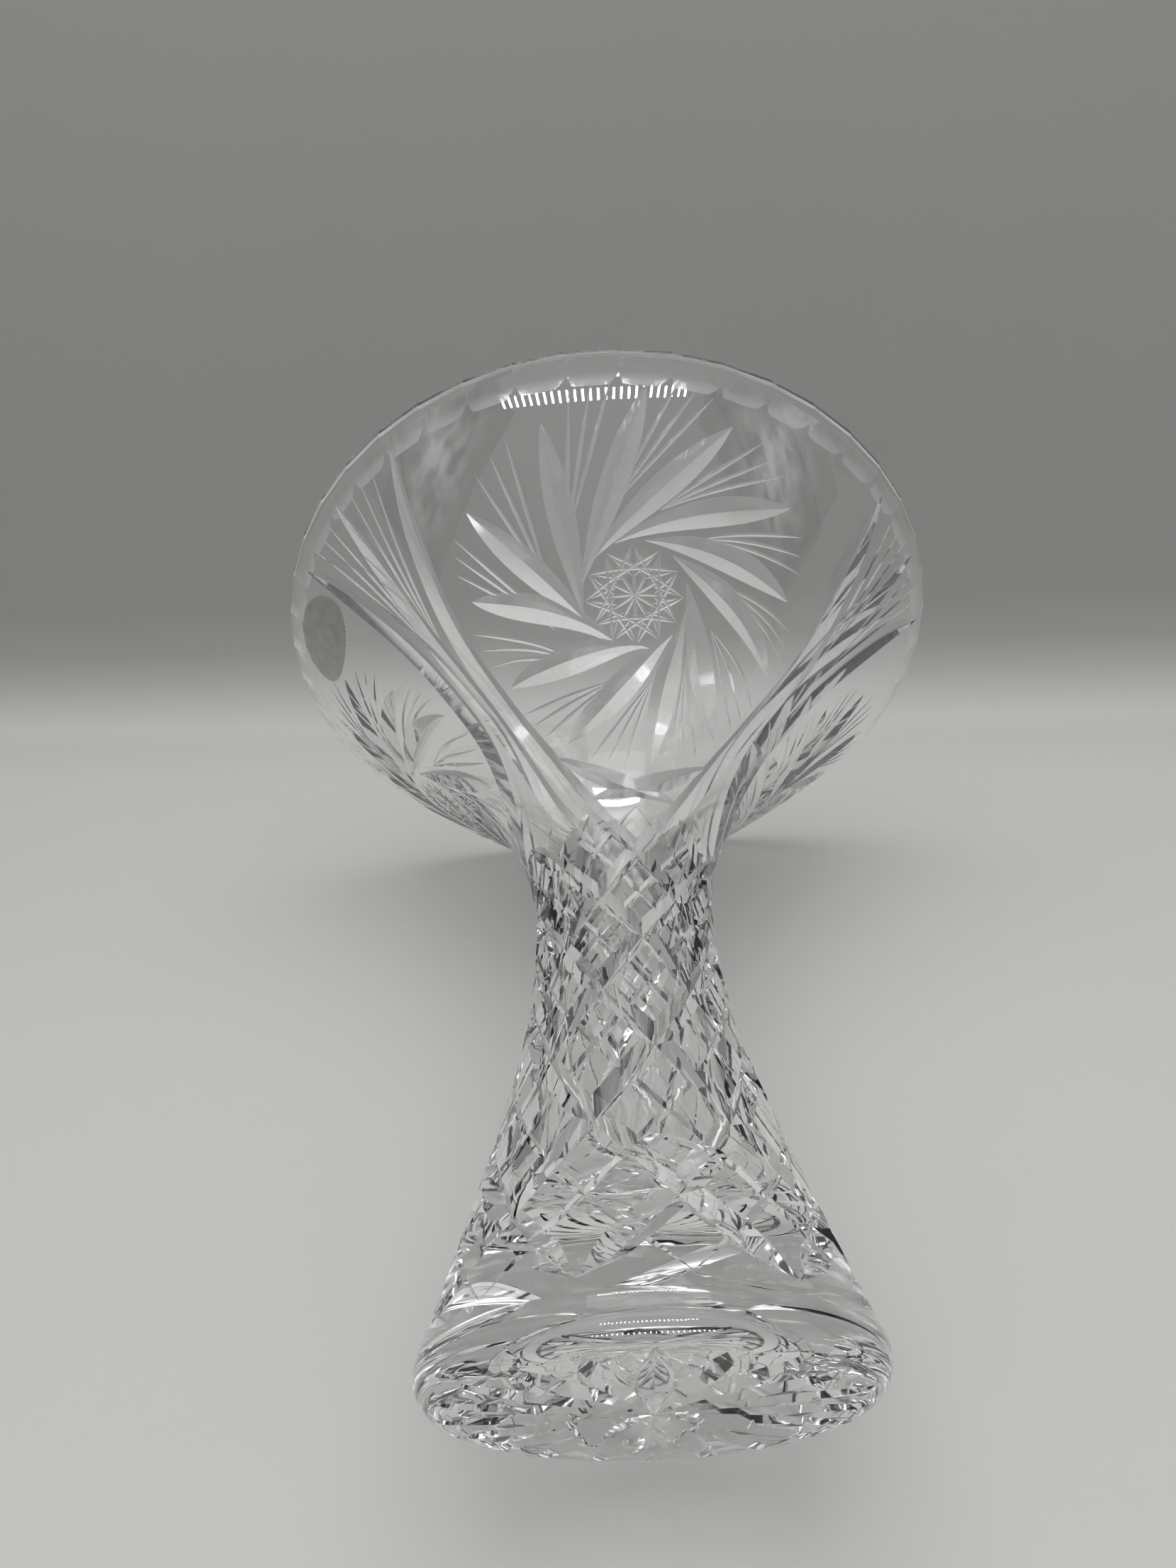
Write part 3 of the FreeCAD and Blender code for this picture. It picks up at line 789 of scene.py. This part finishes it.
TENT_STOPS, TENT_GLOW = ((0.0, 0.44), (0.45, 0.48), (0.7, 0.58), (0.85, 0.9), (1.0, 1.0)), 0.75
world = bpy.data.worlds.new("light_tent")
bpy.context.scene.world = world
world.use_nodes = True
finish = Finish(world)
way = finish.node("ShaderNodeTexCoord", output="Generated")
facing = finish.measure("DOT_PRODUCT", way, tuple(TABLE_UP))
tent = finish.node("ShaderNodeValToRGB", {"stops": TENT_STOPS}, {"Fac": facing * 0.5 + 0.5})
glow = finish.node("ShaderNodeBackground", {}, {"Color": tent, "Strength": TENT_GLOW})
finish.node("ShaderNodeOutputWorld", {}, {"Surface": glow})


def aimed(location, target):
    """The turn that points a lamp's -Z from a location at a target."""
    toward = (target - location).normalized()
    return toward.to_track_quat("-Z", "Y").to_matrix().to_4x4()


def lamp_row(name, middle, along, count, gap, row_gap, width, height, strength):
    """Two rows of small upright lamps that face the vase."""
    target = Vector((0, 0, HEIGHT / 2))
    facing = (target - middle).normalized()
    across = facing.cross(along).normalized()
    along = across.cross(facing).normalized()
    lamps = []
    for row in (-0.5, 0.5):
        for place in range(count):
            spot = middle + along * (place - (count - 1) / 2 + row * 0.5) * gap + across * row * row_gap
            deselect()
            bpy.ops.mesh.primitive_plane_add(size=1)
            lamp = bpy.context.object
            turn = Matrix((along * width, across * height, -facing)).transposed().to_4x4()
            lamp.data.transform(Matrix.Translation(spot) @ turn)
            lamps.append(lamp)
    deselect()
    for lamp in lamps:
        lamp.select_set(True)
    bpy.context.view_layer.objects.active = lamps[0]
    bpy.ops.object.join()
    row = lamps[0]
    row.name = name
    material, finish = new_finish(name)
    finish.surface(finish.node("ShaderNodeEmission", {}, {"Color": (1, 1, 1, 1), "Strength": strength}))
    light_up(row, material)


def light_up(lamp, material):
    """Glows in the glass only: a lamp is neither seen itself nor lights the sheet."""
    lamp.data.materials.append(material)
    lamp.visible_camera = lamp.visible_diffuse = lamp.visible_shadow = False


ACROSS_TABLE = TABLE_TURN @ Vector((1, 0, 0))
RIM_ROW = TABLE_TURN @ Vector((0, -0.98, 0.695)) * HEIGHT
lamp_row("rim_lamps", RIM_ROW, ACROSS_TABLE, 26, 7.9 * MM, 13 * MM, 2.4 * MM, 7 * MM, 60)
FOOT_ROW, ALONG_FOOT_ROW = Vector((-0.035, -0.215, -0.24)), Vector((0.246, -0.043, 0.01))
lamp_row("foot_lamps", FOOT_ROW, ALONG_FOOT_ROW, 24, 10.4 * MM, 170 * MM, 3 * MM, 24 * MM, 35)

PANEL_LENGTH, PANEL_HEIGHT, PANEL_AWAY, PANEL_GLOW = 0.5, 0.1, 0.6, 2.6
PANEL_TARGET = Vector((0, 0, 0.24))


def soft_panel(name, way):
    """A low, long panel that fades to its edges, broken up by streaks."""
    spot = PANEL_TARGET + Vector(way) * PANEL_AWAY
    deselect()
    bpy.ops.mesh.primitive_plane_add(size=1)
    panel = bpy.context.object
    panel.name = name
    shape = Matrix.Diagonal((PANEL_LENGTH, PANEL_HEIGHT, 1, 1))
    panel.data.transform(Matrix.Translation(spot) @ aimed(spot, PANEL_TARGET) @ shape)
    material, finish = new_finish(name)
    place = finish.node("ShaderNodeTexCoord", output="UV")
    away = finish.measure("DISTANCE", place, (0.5, 0.5, 0))
    soft = finish.node("ShaderNodeMapRange", {"interpolation_type": "SMOOTHSTEP"}, {
        0: away, 1: 0.0, 2: 0.5, 3: 1.0, 4: 0.0})
    streaks = finish.node("ShaderNodeTexNoise", {}, {"Vector": place, "Scale": 7, "Detail": 3}, "Fac")
    broken = finish.node("ShaderNodeMapRange", {}, {0: streaks, 1: 0.4, 2: 0.6, 3: 0.1, 4: 1.0})
    finish.surface(finish.node("ShaderNodeEmission", {}, {"Color": soft * broken, "Strength": PANEL_GLOW}))
    light_up(panel, material)


soft_panel("left_panel", (-0.79, -0.52, -0.33))
soft_panel("right_panel", (0.655, -0.678, -0.333))

panel_light = bpy.data.lights.new("table_panel", "AREA")
panel_light.shape = "RECTANGLE"
panel_light.size, panel_light.size_y = 0.7, 0.5
panel_light.energy = 1.5
panel_lamp = bpy.data.objects.new("table_panel", panel_light)
bpy.context.scene.collection.objects.link(panel_lamp)
spot = TABLE_POINT + TABLE_ALONG * 0.1 + TABLE_UP * 0.75
panel_lamp.matrix_world = Matrix.Translation(spot) @ aimed(spot, Vector((0, 0, HEIGHT * 0.5)))


# The camera looks from below and in front of the foot, along the vase and into the sheet.

LENS, SENSOR, GLASS_BOUNCES = 25.57, 36, 24
PITCH, YAW, ROLL = math.radians(42.09), math.radians(-1.936), math.radians(2.154)
STAND = Vector((0, -0.26768, -0.05923))


def camera_turn():
    level = Vector((math.sin(YAW), math.cos(YAW), 0))
    forward = level * math.cos(PITCH) + Vector((0, 0, math.sin(PITCH)))
    right = forward.cross(Vector((0, 0, 1))).normalized()
    down = forward.cross(right)
    right, down = (right * math.cos(ROLL) + down * math.sin(ROLL),
                   down * math.cos(ROLL) - right * math.sin(ROLL))
    return TABLE_TURN @ Matrix((right, -down, -forward)).transposed()


camera = bpy.data.objects.new("camera", bpy.data.cameras.new("camera"))
bpy.context.scene.collection.objects.link(camera)
camera.data.lens, camera.data.sensor_width, camera.data.sensor_fit = LENS, SENSOR, "AUTO"
camera.data.clip_start = 0.01
camera.matrix_world = Matrix.Translation(TABLE_TURN @ STAND) @ camera_turn().to_4x4()
bpy.context.scene.camera = camera
bpy.context.scene.view_settings.view_transform = "Standard"
bpy.context.scene.cycles.max_bounces = bpy.context.scene.cycles.transmission_bounces = GLASS_BOUNCES

bpy.context.view_layer.update()
